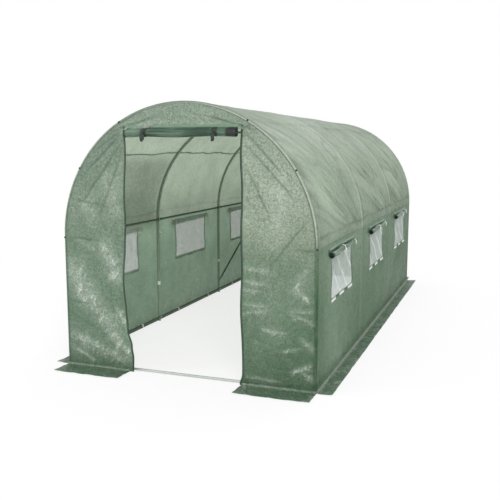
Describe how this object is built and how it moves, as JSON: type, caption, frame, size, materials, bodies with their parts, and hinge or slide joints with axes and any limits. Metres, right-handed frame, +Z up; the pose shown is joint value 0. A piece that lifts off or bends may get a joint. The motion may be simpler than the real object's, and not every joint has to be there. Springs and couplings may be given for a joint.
{
  "type": "polytunnel greenhouse",
  "caption": "Walk-in tunnel greenhouse: a hooped tube frame under green reinforced film, with a rolled-up zip door, netted side windows and ground flaps.",
  "frame": {"origin": "centre of the ground that the tunnel covers, flaps included, at ground level", "axes": "+Z up, +Y along the tunnel from the door end to the rear end, +X to the right seen from the door"},
  "size_m": [2.22, 4.88, 2],
  "materials": {
    "hoop_tube": "satin",
    "rail_tube": "satin",
    "roof_film": "woven film",
    "wall_film": "woven film",
    "skirt_film": "woven film",
    "roll_film": "rolled woven film",
    "net": "fine net",
    "white_trim": "matte",
    "dark_tape": "woven tape"
  },
  "bodies": {
    "root": {"left_legs": "hoop_tube", "right_legs": "hoop_tube", "left_arch_tubes": "hoop_tube", "right_arch_tubes": "hoop_tube", "crown_arch_tubes": "hoop_tube", "left_ground_rail": "rail_tube", "right_ground_rail": "rail_tube", "left_side_rail": "rail_tube", "right_side_rail": "rail_tube", "left_upper_rail": "rail_tube", "right_upper_rail": "rail_tube", "front_ground_bar": "rail_tube", "rear_ground_bar": "rail_tube", "rear_braces": "rail_tube", "left_eave_roof": "roof_film", "left_haunch_roof": "roof_film", "left_crown_roof": "roof_film", "right_crown_roof": "roof_film", "right_haunch_roof": "roof_film", "right_eave_roof": "roof_film", "left_wall_1": "wall_film", "left_wall_2": "wall_film", "left_wall_3": "wall_film", "right_wall_1": "wall_film", "right_wall_2": "wall_film", "right_wall_3": "wall_film", "front_wall_left": "wall_film", "front_wall_right": "wall_film", "front_gable": "wall_film", "rear_wall": "wall_film", "front_left_skirt": "skirt_film", "front_right_skirt": "skirt_film", "rear_skirt": "skirt_film", "left_skirt": "skirt_film", "right_skirt": "skirt_film", "door_roll": "roll_film", "left_flap_rolls": "roll_film", "right_flap_rolls": "roll_film", "left_window_nets": "net", "right_window_nets": "net", "left_flap_ties": "white_trim", "right_flap_ties": "white_trim", "left_hook_strips": "white_trim", "right_hook_strips": "white_trim", "leg_clips": "white_trim", "door_ties": "dark_tape", "door_zips": "dark_tape"}
  },
  "joints": []
}
